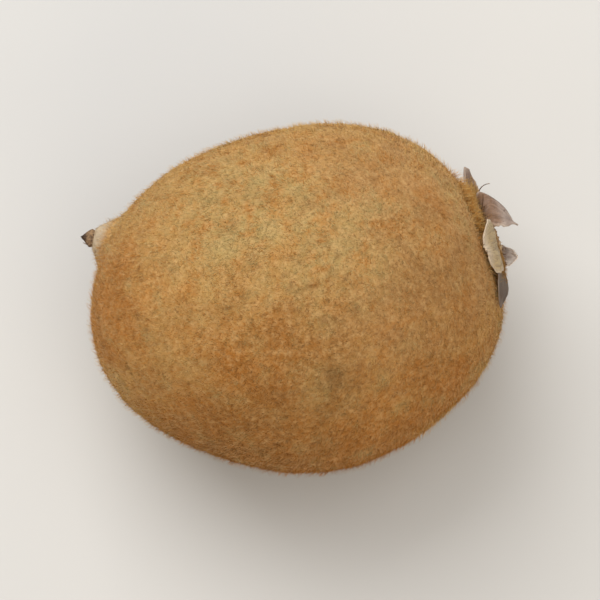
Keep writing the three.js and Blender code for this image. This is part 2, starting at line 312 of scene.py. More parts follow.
def closed_faces(rows, around):
    """Faces of a closed skin: one point, rows of points that run round, counted row by row, and one more."""
    ring = np.arange(around)
    after = (ring + 1) % around
    last = rows * around + 1
    caps = [np.stack([np.zeros(around, int), 1 + ring, 1 + after], 1),
            np.stack([np.full(around, last), last - around + after, last - around + ring], 1)]
    return [grid_faces(rows, around, True) + 1, *caps]


def disc_between(end, radius, low, high, out=26, around=72):
    """Closed disc that follows the skin at one end, from the height low up to high(distance, angle)."""
    distance = radius * (np.arange(1, out + 1) / out)[:, None] * np.ones(around)
    angle = np.linspace(0, TURN, around, endpoint=False) + 0 * distance
    a, b = distance * np.cos(angle), distance * np.sin(angle)
    upper, lower = over_end(end, a, b, high(distance, angle)), over_end(end, a, b, low + 0 * distance)
    zero = np.zeros(1)
    points = np.concatenate([over_end(end, zero, zero, high(zero, zero)), upper.reshape(-1, 3),
                             lower[::-1].reshape(-1, 3), over_end(end, zero, zero, low + zero)])
    return points, closed_faces(2 * out, around)


def threads(paths, girths, sides=5, aside=(0.31, -0.42, 0.85)):
    """Round threads along paths (threads, steps, 3), of girths (threads, steps), closed at both ends.

    A ring of points stands round each step, and aside is a direction that no thread takes.
    """
    count, steps, _ = paths.shape
    along = unit(np.gradient(paths, axis=1))
    across = unit(np.cross(along, np.array(aside)))
    over = np.cross(along, across)
    angle = np.linspace(0, TURN, sides, endpoint=False)[:, None]
    ring = np.cos(angle) * across[:, :, None] + np.sin(angle) * over[:, :, None]
    points = (paths[:, :, None] + ring * girths[:, :, None, None]).reshape(count, -1, 3)
    points = np.concatenate([paths[:, :1], points, paths[:, -1:]], 1)
    start = np.arange(count)[:, None, None] * points.shape[1]
    faces = [(part + start).reshape(-1, part.shape[1]) for part in closed_faces(steps, sides)]
    return points.reshape(-1, 3), faces


def joined(*meshes):
    """Several (points, faces) meshes as one."""
    points, faces, start = [], [], 0
    for some, parts in meshes:
        points.append(some)
        faces += [part + start for part in parts]
        start += len(some)
    return np.concatenate(points), faces


# ---- Materials ----
def new_node(tree, kind, inputs, **choices):
    """A shader node with its choices made, and its inputs, by name or place, linked or set."""
    node = tree.nodes.new("ShaderNode" + kind)
    for key, value in choices.items():
        setattr(node, key, value)
    for key, value in inputs.items():
        if isinstance(value, bpy.types.NodeSocket):
            tree.links.new(value, node.inputs[key])
        else:
            node.inputs[key].default_value = value
    return node


def new_material(name, roughness, specular=0.3):
    """A new material: itself, its node tree, its main shader and its position in millimetres."""
    material = bpy.data.materials.new(name)
    material.use_nodes = True
    tree = material.node_tree
    shader = tree.nodes["Principled BSDF"]
    shader.inputs["Roughness"].default_value = roughness
    shader.inputs["Specular IOR Level"].default_value = specular
    place = new_node(tree, "TexCoord", {}).outputs["Object"]
    scaled = new_node(tree, "VectorMath", {0: place, "Scale": 1 / MM}, operation="SCALE")
    return material, tree, shader, scaled.outputs[0]


def noise(tree, place, length, detail=3.0, roughness=0.55):
    """Cloudy noise whose blotches are about one length across."""
    inputs = {"Vector": place, "Scale": 1 / length, "Detail": detail, "Roughness": roughness}
    return new_node(tree, "TexNoise", inputs).outputs["Fac"]


def ramp(tree, value, *stops):
    """Colour by value, from (position, colour) stops."""
    node = new_node(tree, "ValToRGB", {"Fac": value})
    elements = node.color_ramp.elements
    while len(elements) < len(stops):
        elements.new(1.0)
    for element, (position, colour) in zip(elements, stops):
        element.position = position
        element.color = (*colour[:3], 1)
    return node.outputs["Color"]


def mix(tree, factor, first, second, blend="MIX"):
    """Mixes two colours, each a socket or plain values, by a factor."""
    inputs = {key: tone if isinstance(tone, bpy.types.NodeSocket) else (*tone[:3], 1)
              for key, tone in ((6, first), (7, second))}
    return new_node(tree, "Mix", {0: factor, **inputs}, data_type="RGBA", blend_type=blend).outputs[2]


def bump(tree, shader, height, distance, strength):
    """Adds fine relief to a shader."""
    inputs = {"Height": height, "Distance": distance * MM, "Strength": strength}
    tree.links.new(new_node(tree, "Bump", inputs).outputs["Normal"], shader.inputs["Normal"])


def grains(tree, place, length, detail, roughness, low, high):
    """Cloudy noise opened out, so that low or less is 0, and high or more is 1."""
    return ramp(tree, noise(tree, place, length, detail, roughness), (low, BLACK), (high, WHITE))


def level(tree, name):
    """A piece's own numbers by point."""
    return new_node(tree, "Attribute", {}, attribute_name=name).outputs["Fac"]


def over(tree, tone, amount, strength, tint):
    """A tint laid over a tone, by an amount times a strength."""
    share = new_node(tree, "Math", {0: amount, 1: strength}, operation="MULTIPLY").outputs[0]
    return mix(tree, share, tone, tint)


def own_map(tree, name):
    """A piece's own map, and its two axes apart."""
    source = new_node(tree, "UVMap", {}, uv_map=name).outputs[0]
    parts = new_node(tree, "SeparateXYZ", {0: source}).outputs
    return source, parts["X"], parts["Y"]


def near(tree, place, middle, full, none):
    """1 within full of a place in millimetres, falling to 0 at none."""
    away = new_node(tree, "VectorMath", {0: place, 1: middle}, operation="DISTANCE").outputs["Value"]
    inputs = {"Value": away, "From Min": full, "From Max": none, "To Min": 1, "To Max": 0}
    return new_node(tree, "MapRange", inputs, interpolation_type="SMOOTHSTEP").outputs[0]


def velvet(shader, weight, tint, roughness=0.4):
    """A soft sheen, as of very fine down."""
    shader.inputs["Sheen Weight"].default_value = weight
    shader.inputs["Sheen Roughness"].default_value = roughness
    shader.inputs["Sheen Tint"].default_value = (*tint, 1)


def skin_material(settings):
    """Golden-brown skin: olive, russet and rosy regions, regions of painted shade, pale scurf, dark pores and
    a few dark specks.
    """
    material, tree, shader, place = new_material("kiwi_skin", roughness=0.85, specular=0.2)
    velvet(shader, settings.sheen, settings.down)
    tone = settings.ground
    # One of these lays the pore colour over the skin as painted shade
    for name, strength, tint in (("olive", 0.85, settings.olive), ("rosy", 0.8, settings.rosy),
                                 ("russet", 0.8, settings.russet), ("deep", 0.3, settings.pore)):
        tone = over(tree, tone, level(tree, name), strength, tint)
    tone = over(tree, tone, grains(tree, place, 0.9, 4, 0.7, 0.42, 0.7), 0.55, settings.light)
    tone = over(tree, tone, grains(tree, place, 0.4, 3, 0.6, 0.56, 0.7), 0.5, settings.pore)
    tone = over(tree, tone, level(tree, "speck"), 0.6, settings.pore)
    tip = Vector((inset_skin(np.array(math.pi), np.array(0.0)) + OFFSET).tolist())
    tone = over(tree, tone, near(tree, place, tip, full=2.2, none=4.2), 0.85, settings.faded)
    tree.links.new(tone, shader.inputs["Base Color"])
    bump(tree, shader, noise(tree, place, 0.5, 4, 0.7), distance=0.12, strength=0.6)
    return material


def fuzz_material(settings):
    """Hair colour from the hairs' own map: across it families, each from pale to dark, and up it the hair,
    which is painted darker towards its root as shade within the fuzz.
    """
    material, tree, shader, _ = new_material("kiwi_fuzz", roughness=0.5)
    velvet(shader, settings.sheen, settings.pale)
    _, across, up = own_map(tree, "OFBake")
    families = ((settings.pale, settings.gold), (settings.pale_olive, settings.olive),
                (settings.pale_russet, settings.russet), (settings.pale_rosy, settings.rosy),
                (settings.pale_faded, settings.faded))
    stops = [((i + share) / FAMILIES, tone) for i, family in enumerate(families)
             for share, tone in zip((0.02, 0.5, 0.98), (*family, settings.dark))]
    # Painted shade: each hair is darker towards its root, where the fuzz around it shades it
    painted_root_shade = (0.68, 0.62, 0.56)
    shade = ramp(tree, up, (0.0, painted_root_shade), (0.55, WHITE))
    tone = mix(tree, 1.0, ramp(tree, across, *stops), shade, "MULTIPLY")
    tree.links.new(tone, shader.inputs["Base Color"])
    return material


def sepal_material(name, root, middle, tip, dark, cream, from_root, to_tip, paleness):
    """Dry papery sepal: brown at its root, faded towards its tip and edges, with veins and specks.

    The root's colour ends at from_root and the tip's starts at to_tip, as shares of the length.
    paleness is how strongly the cream shows along its edge.
    """
    material, tree, shader, place = new_material(name, roughness=0.65)
    flat, _, along = own_map(tree, "sepal")
    stretched = new_node(tree, "Mapping", {"Vector": flat, "Scale": (26, 2.4, 1)}).outputs[0]
    uneven = mix(tree, 0.25, along, noise(tree, place, 1.4, 3, 0.6))
    tone = ramp(tree, uneven, (from_root, root), ((from_root + to_tip) / 2, middle), (to_tip, tip))
    veins = grains(tree, stretched, 1, 4, 0.65, 0.45, 0.7)
    for spots, strength, tint in ((grains(tree, place, 1.1, 3, 0.6, 0.36, 0.66), 0.35, middle),
                                  (veins, 0.6, dark),
                                  (grains(tree, place, 0.35, 2, 0.6, 0.58, 0.7), 0.7, dark)):
        tone = over(tree, tone, spots, strength, tint)
    rim = ramp(tree, level(tree, "edge"), (0.82, BLACK), (0.98, WHITE))
    tree.links.new(over(tree, tone, rim, paleness, cream), shader.inputs["Base Color"])
    bump(tree, shader, veins, distance=0.12, strength=0.7)
    return material


def dry_material(name, light, dark, grain, relief, contrast=(0.4, 0.62), tip=None):
    """Dry plant matter: two tones in grains, fine relief, and dark all over near a tip."""
    material, tree, shader, place = new_material(name, roughness=0.8, specular=0.2)
    tone = mix(tree, grains(tree, place, grain, 4, 0.65, *contrast), light, dark)
    if tip is not None:
        tone = mix(tree, near(tree, place, tip, full=0.8, none=1.7), tone, dark)
    tree.links.new(tone, shader.inputs["Base Color"])
    bump(tree, shader, noise(tree, place, relief), distance=0.1, strength=0.7)
    return material


# ---- Pieces ----
def skin_surface(t, f):
    """The drawn-in skin with its fine unevenness, flat where it rests."""
    point = inset_skin(t, f)
    fine = swells(point, 3, 40, 5.5, 0.07) + swells(point, 4, 60, 1.7, 0.03)
    point = point + unit(point) * fine[..., None]
    point[..., 2] = np.maximum(point[..., 2], SKIN_ABOVE_GROUND - OFFSET[2])
    return point


def build_skin(settings, crowding=0.25):
    """A closed grid of the skin's surface, with a point at each end, towards which its rings crowd."""
    share = np.arange(1, settings.rows) / settings.rows
    t = math.pi * share - crowding * np.sin(TURN * share)
    f = np.linspace(0, TURN, settings.columns, endpoint=False)
    rings = skin_surface(*np.meshgrid(t, f, indexing="ij")).reshape(-1, 3)
    zero = np.zeros(1)
    points = np.concatenate([skin_surface(zero, zero), rings, skin_surface(zero + math.pi, zero)])
    faces = closed_faces(settings.rows - 1, settings.columns)
    add_piece("kiwi_skin", points, faces, skin_material(settings), "fruit_body", levels=marks(points))


def scattered_roots(count, seed, rows=240, columns=300, step=1e-3):
    """Random places spread evenly over the skin by area, in cells of a grid: t and f of each."""
    rng = np.random.default_rng(seed)
    t = (np.arange(rows) + 0.5) * math.pi / rows
    f = (np.arange(columns) + 0.5) * TURN / columns
    tt, ff = np.meshgrid(t, f, indexing="ij")
    down = skin_point(tt + step, ff) - skin_point(tt - step, ff)
    around = skin_point(tt, ff + step) - skin_point(tt, ff - step)
    area = np.linalg.norm(np.cross(down, around), axis=-1).ravel()
    row, column = np.divmod(rng.choice(rows * columns, count, p=area / area.sum()), columns)
    jitter = rng.uniform(0, 1, (2, count))
    return (row + jitter[0]) * math.pi / rows, (column + jitter[1]) * TURN / columns


def strands(root, normal, lean, size, up, girth, rings, tone, rng, highest=HIGHEST_FUZZ,
            sag=0.2, lead=0.1, sway=0.14, taper=0.75, sunk=0.05, lowest=0.01, margin=0.02):
    """Tapered three-sided hairs, each from its root at the angle up to the skin, bending down along lean.

    Each sags, leads and sways by the square of the share along it, and has so many rings of points below
    its tip. Returns points, faces and a map of tone by place from root to tip.
    """
    count = len(root)
    share = np.arange(rings + 1) / rings
    height = np.sin(up)[:, None] * share - sag * share ** 2
    ahead = np.cos(up)[:, None] * share + lead * share ** 2
    aside = rng.normal(0, sway, count)[:, None] * share ** 2
    height = np.minimum(height * size[:, None], highest * (0.9 + 0.1 * share))
    cross = np.cross(normal, lean)
    spine = root[:, None] + height[..., None] * normal[:, None] + size[:, None, None] * (
        ahead[..., None] * lean[:, None] + aside[..., None] * cross[:, None])
    spine[:, 0] -= sunk * normal
    thick = girth * rng.uniform(0.7, 1.3, count)[:, None] * (1 - taper * share[:-1])
    k = np.arange(3)
    after = (k + 1) % 3
    angle = k * TURN / 3
    ring = np.cos(angle)[:, None] * cross[:, None] + np.sin(angle)[:, None] * normal[:, None]
    rims = spine[:, :-1, None] + thick[..., None, None] * ring[:, None]
    points = np.concatenate([rims.reshape(count, -1, 3), spine[:, -1:]], 1)
    points[..., 2] = np.maximum(points[..., 2], lowest - OFFSET[2])
    one = [np.array([[0, 2, 1]])]
    last = 3 * (rings - 1)
    for low in range(0, last, 3):
        first, opposite = low + k, low + 3 + after
        one += [np.stack([first, low + after, opposite], 1), np.stack([first, opposite, first + 3], 1)]
    one.append(np.stack([last + k, last + after, np.full(3, last + 3)], 1))
    faces = (np.concatenate(one)[None] + (np.arange(count) * (last + 4))[:, None, None]).reshape(-1, 3)
    u = np.repeat(tone[:, None] + 0.003 * k, rings, 0).reshape(count, -1)
    u = np.concatenate([u, tone[:, None]], 1)
    v = np.concatenate([np.repeat(share[:-1], 3), [1.0]])[None] * np.ones((count, 1))
    uv = np.stack([u, margin + (1 - 2 * margin) * v], -1).reshape(-1, 2)
    return points.reshape(-1, 3), [faces], uv


def family_tone(dark, family):
    """Place across the hair map by darkness, 0 to 1: family 0 golden, 1 olive, 2 russet, 3 rosy, 4 faded."""
    return (family + 0.04 + 0.9 * np.clip(dark, 0, 1)) / FAMILIES


def skin_axes(t, f, step=2e-3):
    """Unit vectors of the skin at t and f: towards the blossom end, outwards, and sideways."""
    down = unit(skin_point(t + step, f) - skin_point(t - step, f))
    around = skin_point(t, f + step) - skin_point(t, f - step)
    normal = unit(np.cross(down, around))
    normal = normal * np.sign((normal * skin_point(t, f)).sum(-1))[:, None]
    return down, normal, np.cross(normal, down)


def hairs(count, rings, length, girth, rise, seed):
    """Hairs over the whole skin that lean towards the blossom end, coloured by the skin's regions.

    Each takes the colour family in whose share of the skin's levels its own random draw falls.
    """
    rng = np.random.default_rng(seed)
    t, f = scattered_roots(count, seed)
    root = skin_surface(t, f)
    clear = root[:, 2] > SKIN_ABOVE_GROUND + 0.04 - OFFSET[2]
    t, f, root = t[clear], f[clear], root[clear]
    count = len(root)
    down, normal, side = skin_axes(t, f)
    swirl = swells(root, 11, 12, 14, 0.5) + rng.normal(0, 0.8, count)
    lean = down * np.cos(swirl)[:, None] + side * np.sin(swirl)[:, None]
    tip = hump((math.pi - t) * END_RADIUS, 1.15 * BARE_TIP)
    size = length * rng.uniform(0.6, 1.25, count) * (1 - 0.5 * tip)
    up = np.clip(rng.normal(rise, 0.22, count), 0.12, 1.3)
    mark = marks(root)
    collar = hump(t * END_RADIUS - COLLAR["at"], COLLAR["reach"])
    clump = swells(root, 63, 60, 1.5, 1)
    draw = 0.6 + rng.uniform(-0.45, 0.45, count) + 0.15 * clump
    olive, russet, rosy = np.cumsum([mark["olive"], np.maximum(mark["russet"], collar), mark["rosy"]], axis=0)
    family = np.select([draw < olive, draw < russet, draw < rosy], [1, 2, 3], 0)
    family = np.where(rng.uniform(size=count) < 1.3 * tip, 4, family)
    dark = rng.beta(2.2, 2.8, count) * 0.8 + 0.35 * mark["speck"] + 0.25 * collar
    # Hairs in the region of painted shade are darker too: painted shade
    dark = dark + 0.3 * mark["deep"] + 0.12 * mark["russet"] - 0.09 * clump
    return strands(root, normal, lean, size, up, girth, rings, family_tone(dark, family), rng)


def collar_hairs(count, length, girth, seed):
    """Longer brown hairs in a ring round the calyx, which lean outwards from it or stand up into it."""
    rng = np.random.default_rng(seed)
    thick = rng.uniform(size=count) < 0.45
    distance = COLLAR["at"] - 0.6 + 2 * thick + rng.normal(0, COLLAR["reach"] / 2, count)
    f = rng.uniform(0, TURN, count)
    f = np.where(thick, np.radians(rng.normal(COLLAR["heading"], COLLAR["spread"], count)), f)
    t = np.abs(distance) / END_RADIUS
    down, normal, side = skin_axes(t, f)
    turn = rng.normal(0, 0.9, count) + math.pi * thick
    lean = down * np.cos(turn)[:, None] + side * np.sin(turn)[:, None]
    outer = smooth_step(distance, 3.5, 6.5)
    size = length * rng.uniform(0.5, 1.2, count) * (0.7 + 0.3 * outer) * (1 + 0.3 * thick)
    up = np.clip(rng.normal(1.0, 0.25, count), 0.3, 1.5)
    # Painted light: collar hairs are paler than brown alone, and those that stand up into the calyx are paler
    # and more golden still, where the hollow round the calyx shades them
    family = np.where(rng.uniform(size=count) < 0.6 - 0.2 * thick, 2, 0)
    tone = family_tone(rng.beta(2, 2, count) * 0.6 + 0.08 - 0.08 * thick, family)
    return strands(skin_surface(t, f), normal, lean, size, up, girth, 2, tone, rng, COLLAR["highest"])


def build_fuzz(settings):
    """Short straight fuzz, longer bent hairs, each over the whole skin, and a collar round the calyx."""
    girth = settings.girth / MM
    material = fuzz_material(settings)
    layers = {}
    for kind, number, count, rings, size, rise, seed in (
            ("short", settings.short_layers, settings.short_count, 1, settings.short_length, 0.55, 100),
            ("long", settings.long_layers, settings.long_count, 2, settings.long_length, 0.98, 200)):
        for i in range(number):
            layers[f"{kind}_fuzz_{i + 1}"] = hairs(count, rings, size / MM, girth, rise, seed + i)
    layers["collar_fuzz"] = collar_hairs(settings.collar_count, settings.collar_length / MM, girth, 400)
    for name, (points, faces, uv) in layers.items():
        add_piece(name, points, faces, material, "fruit_body", uv)


def sepal_sheet(index, share, side):
    """The middle surface of a thin sepal by its shares along and across, as the solid one with finer waves.

    Three rows of three places, root, belly and tip, carry a sheet that is quadratic both ways. Its
    corners are rounded, its edges frayed and rolled, it is creased and veined, and kept over the skin.
    """
    azimuth, tip, blunt, belly = SEPALS[index]
    distance, half_turn = SEPAL_ROOT
    angles = np.radians([azimuth - half_turn, azimuth, azimuth + half_turn])
    root = [np.array([distance * np.cos(turn), distance * np.sin(turn), CALYX_FLOOR]) for turn in angles]
    belly = [np.array(place, float) for place in belly]
    across = blunt * unit(belly[2] - belly[0])
    end = [np.array(tip) + shift * across for shift in (-0.5, 0, 0.5)]
    edge = 2 * side - 1
    fray = 0.04 * np.sin(21 * share + 2.1 * index) + 0.03 * np.sin(47 * share + 5 * index + 3 * side)
    ragged = 0.012 * np.sin(9 * side + 2 * index) + 0.008 * np.sin(31 * side + index)
    side = 0.5 + 0.5 * edge * (1 + share * fray) * np.sqrt(1 - SEPAL_TAPER[index] * share ** 8)
    share = share * (1 - SEPAL_CORNER[index] * edge ** 2) + share ** 6 * ragged
    a, b, height = np.moveaxis(through(share, *(through(side, *row) for row in (root, belly, end))), -1, 0)
    out = smooth_step(np.hypot(a, b), *SEPAL_DROP)
    floor = CALYX_FLOOR - 0.2 + (GAP - 0.1 - CALYX_FLOOR) * out + SOLID_SEPAL / 2
    ripple = 0.15 * np.sin(7 * share + 9 * side + index)
    crease = 0.09 * np.sin(12 * side + 3 * share + 2 * index) + 0.07 * np.sin(15 * share + 5 * side)
    rolled = 0.28 * edge ** 4 * math.cos(2.3 * index)
    veins = 0.03 * np.cos(5 * math.pi * edge) * (1 - 0.4 * share)
    height = height + share * (ripple + crease + rolled)
    rest = (height + floor + np.hypot(height - floor, 0.2)) / 2
    return over_end("stem", a, b, rest + veins)


def sepal(index, thickness=0.22, along=64, across=36):
    """A thin slab about the sepal's sheet, thinner at its edges; its map runs across and along it."""
    share, side = np.meshgrid(np.linspace(0, 1, along), np.linspace(0, 1, across), indexing="ij")
    middle = sepal_sheet(index, share, side)
    normal = unit(np.cross(np.gradient(middle, axis=0), np.gradient(middle, axis=1)))
    thin = (thickness * (1 - 0.5 * np.abs(2 * side - 1) ** 3 * share) * 0.5)[..., None]
    points = np.concatenate([middle + normal * thin, middle - normal * thin]).reshape(-1, 3)
    top = grid_faces(along, across)
    lower = along * across
    rim = np.concatenate([np.arange(across - 1), np.arange(along - 1) * across + across - 1,
                          lower - 1 - np.arange(across - 1), (along - 1 - np.arange(along - 1)) * across])
    after = np.roll(rim, -1)
    wall = np.stack([rim, after, lower + after, lower + rim], 1)
    uv = np.stack([side + 1.3 * index, share], -1).reshape(-1, 2)
    edge = np.maximum(np.abs(2 * side - 1), share).reshape(-1)
    return points, [top, top[:, ::-1] + lower, wall], np.concatenate([uv, uv]), np.concatenate([edge, edge])


def sepal_down(most, seed, girth=0.03, step=0.01):
    """Short brown hairs on the outer face of every sepal, dense at its root and sparse towards its tip."""
    rng = np.random.default_rng(seed)
    parts = []
    for index, (downy, reach, dark) in enumerate(SEPAL_DOWN):
        count = round(most * downy)
        share = 0.02 + reach * rng.beta(1.1, 2.2, count)
        side = rng.uniform(0.05, 0.95, count)
        middle = sepal_sheet(index, share, side)
        along = sepal_sheet(index, share + step, side) - middle
        normal = unit(np.cross(along, sepal_sheet(index, share, side + step) - middle))
        along = unit(along)
        turn = rng.normal(0, 0.6, count)[:, None]
        lean = along * np.cos(turn) + np.cross(normal, along) * np.sin(turn)
        size = rng.uniform(0.5, 1.2, count) * (1 - 0.5 * share)
        up = np.clip(rng.normal(0.45, 0.2, count), 0.1, 1.2)
        tone = family_tone(rng.beta(2, 2, count) * 0.5 + dark, 0)
        parts.append(strands(middle + 0.08 * normal, normal, lean, size, up, girth, 2, tone, rng))
    points, faces = joined(*((points, faces) for points, faces, _ in parts))
    return points, faces, np.concatenate([uv for *_, uv in parts])


def build_calyx(settings):
    """Five dry sepals with downy roots, round a corky ring with the stalk's scar in it."""
    for index, (*tones, from_root, to_tip, paleness) in enumerate(SEPAL_LOOKS):
        name = f"sepal_{index + 1}"
        points, faces, uv, edge = sepal(index)
        tones = [getattr(settings, tone) for tone in (*tones, "vein", "cream")]
        material = sepal_material(name, *tones, from_root, to_tip, paleness)
        add_piece(name, points, faces, material, "calyx", uv, "sepal", {"edge": edge})

    def scar_height(distance, angle):
        """A low dome and a raised ring on it, both cracked by waves round them, and fine rings."""
        dome = SCAR["thickness"] * np.sqrt(np.maximum(1 - (distance / SCAR["radius"]) ** 2, 0))
        rim = SCAR["rim"] * hump(distance - SCAR["rim_at"], SCAR["rim_width"])
        cracks = 0.12 * np.sin(11 * angle + 2 * np.sin(3 * angle)) + 0.07 * np.sin(29 * angle + 4 * distance)
        uneven = rim * cracks + 0.05 * np.cos(distance * 9) + 0.5 * cracks * (distance > 2.6)
        return CALYX_FLOOR + SCAR["edge"] + dome + rim + uneven

    points, faces = disc_between("stem", SCAR["radius"], CALYX_FLOOR - 0.1, scar_height, out=30, around=90)
    material = dry_material("corky_scar", settings.straw, settings.brown, grain=0.5, relief=0.3)
    add_piece("stalk_scar", points, faces, material, "calyx")


def build_down(settings):
    """The sepals' down, in the colours of the fuzz."""
    points, faces, uv = sepal_down(settings.down_count, 300)
    add_piece("calyx_down", points, faces, fuzz_material(settings), "calyx", uv)


def build_stamens(settings, steps=9, girth=0.11, knob=1.9, pad_radius=3.8):
    """A dark pad of dried stamens with threads pointing outwards, and a few that stand off.

    Each thread curls by the square of the share along it, and has a knob near its tip.
    """
    rng = np.random.default_rng(5)
    each = (settings.count, 1)
    share = np.linspace(0, 1, steps)
    azimuth = TURN * (np.arange(settings.count)[:, None] + rng.uniform(0, 0.8, each)) / settings.count
    reach = rng.uniform(1.4, 3.4, each)
    curl = rng.normal(0, 0.35, each)
    lift = np.where(rng.uniform(size=each) < 0.4, rng.uniform(0.6, 1.8, each), rng.uniform(0, 0.3, each))
    distance = 2.6 + reach * share
    heading = azimuth + curl * share ** 2 + 0.06 * np.sin(9 * share + azimuth * 5)
    height = 0.3 + 0.12 * np.sin(7 * share + azimuth * 3) + lift * share ** 1.5
    paths = over_end("stem", distance * np.cos(heading), distance * np.sin(heading), height)
    strays = [over_end("stem", *through(share, *np.array(places)).T) for places in STRAY_THREADS]
    paths = np.concatenate([paths, strays])
    girths = girth * rng.uniform(0.7, 1.2, len(paths))[:, None] * (1 - 0.6 * share)
    girths[:settings.count, -2] *= knob

    def pad_height(distance, angle):
        """Level in the middle, falling at the edge, with shallow waves round it."""
        fall = 0.35 * (distance / pad_radius) ** 4
        return CALYX_FLOOR - 0.05 - fall + 0.07 * np.sin(17 * angle + 5 * distance)

    pad = disc_between("stem", pad_radius, BEDDED, pad_height)
    points, faces = joined(pad, threads(paths, girths))
    material = dry_material("dried_stamens", settings.light, settings.dark, grain=0.4, relief=0.24)
    add_piece("dried_stamens", points, faces, material, "stamen_disc")


def build_styles(settings, steps=10, tall=1.5, girth=0.085, tip_at=1.9):
    """A small pointed cone of matted brown styles that lean in to its dark tip, a few of them loose.

    Each stands a golden angle on from the last, at a distance that grows as the root of its number.
    """
    rng = np.random.default_rng(9)
    each = (settings.count, 1)
    share = np.linspace(0, 1, steps)
    order = np.arange(settings.count)[:, None]
    heading = order * math.pi * (3 - math.sqrt(5))
    outward = np.sqrt((order + 0.5) / settings.count)
    reach = tall * rng.uniform(0.75, 1.0, each)
    lean = np.where(rng.uniform(size=each) < 0.06, 0.2, 0.88)
    distance = outward * (0.98 - lean * share)
    turned = heading + 0.5 * share * rng.normal(0, 1, each)
    height = 0.25 + reach * share * (1 - 0.2 * outward * share)
    paths = over_end("blossom", distance * np.cos(turned), distance * np.sin(turned), height)
    girths = girth * rng.uniform(0.7, 1.2, each) * (1 - 0.5 * share)

    def cone_height(distance, angle):
        """Straight slopes up to the tip, with shallow waves round them."""
        slope = 0.92 * TUFT["height"] * (1 - distance / TUFT["radius"])
        return GAP + TUFT["edge"] - 0.15 + slope + 0.06 * np.sin(9 * angle + 3 * distance) * (distance > 0.1)

    cone = disc_between("blossom", TUFT["radius"], BEDDED, cone_height, out=14, around=36)
    points, faces = joined(cone, threads(paths, girths))
    tip = Vector((over_end("blossom", np.array(0.0), np.array(0.0), tip_at) + OFFSET).tolist())
    material = dry_material("dried_styles", settings.light, settings.dark, 0.3, 0.2, (0.42, 0.66), tip)
    add_piece("dried_styles", points, faces, material, "style_tuft")


def aim(thing, place, centre):
    """Puts a light or the camera in its place, facing the centre."""
    thing.location = place
    thing.rotation_mode = "QUATERNION"
    thing.rotation_quaternion = (centre - Vector(place)).to_track_quat("-Z", "Y")


def build_stage(settings, half=3.0, sensor=36, away=0.75):
    """Pale ground, wide soft lights from behind, above and in front, and the camera."""
    scene = bpy.context.scene
    mesh = bpy.data.meshes.new("ground")
    corners = [(-half, -half, 0), (half, -half, 0), (half, half, 0), (-half, half, 0)]
    mesh.from_pydata(corners, [], [(0, 1, 2, 3)])
    material, tree, shader, place = new_material("pale_ground", roughness=0.9, specular=0.2)
    faint = [0.985 * part for part in settings.ground]
    shade = ramp(tree, noise(tree, place, 40, 2), (0.3, settings.ground), (0.7, faint))
    tree.links.new(shade, shader.inputs["Base Color"])
    mesh.materials.append(material)
    ground = new_object("ground", mesh)

    centre = Vector((0, 0, 0.022))
    white, warm = (1.0, 0.985, 0.96), (1.0, 0.81, 0.52)
    lights = (("key", (-0.24, 0.41, 0.58), 0.6, settings.key, white),
              ("top", (0.1, 0.0, 0.9), 0.8, settings.top, white),
              ("fill", (0.28, -0.52, 0.33), 0.6, settings.fill, warm))
    for name, place, width, power, tint in lights:
        lamp = bpy.data.lights.new(name, "AREA")
        lamp.energy = power
        lamp.size = width
        lamp.color = tint
        aim(new_object(name, lamp), place, centre)

    scene.world = bpy.data.worlds.new("studio")
    scene.world.use_nodes = True
    sky = scene.world.node_tree.nodes["Background"]
    sky.inputs["Color"].default_value = (*white, 1)
    sky.inputs["Strength"].default_value = settings.sky
    scene.view_settings.view_transform = "Standard"

    camera = new_object("camera", bpy.data.cameras.new("camera"))
    back = Vector((0, -math.cos(settings.elevation), math.sin(settings.elevation)))
    camera.data.sensor_width = sensor
    camera.data.lens = sensor * away / settings.view_width
    aim(camera, centre + back * away, centre)
    scene.camera = camera


# ---- Settings ----
def colour(name, description, value):
    """A colour setting."""
    return FloatVectorProperty(name=name, description=description, default=value, size=3, min=0, max=1,
                               subtype="COLOR")


def whole(name, description, value, least=1):
    """A whole number setting."""
    return IntProperty(name=name, description=description, default=value, min=least)


def millimetres(name, description, value):
    """A length setting, which is held in metres."""
    return FloatProperty(name=name, description=description, default=value * MM, precision=5, unit="LENGTH")


def watts(name, description, value):
    """A setting of a light's power."""
    return FloatProperty(name=name, description=description, default=value, unit="POWER")


class KiwiSkinSettings(PropertyGroup):
    rows: whole("Rows", "Rings of points along the fruit", 160, 20)
    columns: whole("Columns", "Points round the fruit", 200, 24)
    ground: colour("Ground", "Main skin colour", (0.37, 0.2, 0.06))
    olive: colour("Olive", "Colour of the greener patches", (0.32, 0.23, 0.085))
    russet: colour("Russet", "Colour of the red-brown patches", (0.32, 0.108, 0.01))
    rosy: colour("Rosy", "Colour of the rosy brown patches", (0.31, 0.16, 0.058))
    light: colour("Light", "Colour of the pale scurf", (0.5, 0.32, 0.14))
    faded: colour("Faded", "Greyish tan of the bare tip", (0.425, 0.345, 0.245))
    pore: colour("Pore", "Colour of the dark pores", (0.14, 0.06, 0.013))
    down: colour("Down", "Tint of the sheen", (0.8, 0.58, 0.3))
    sheen: FloatProperty(name="Sheen", description="Strength of the soft sheen", default=0.5, min=0, max=1)


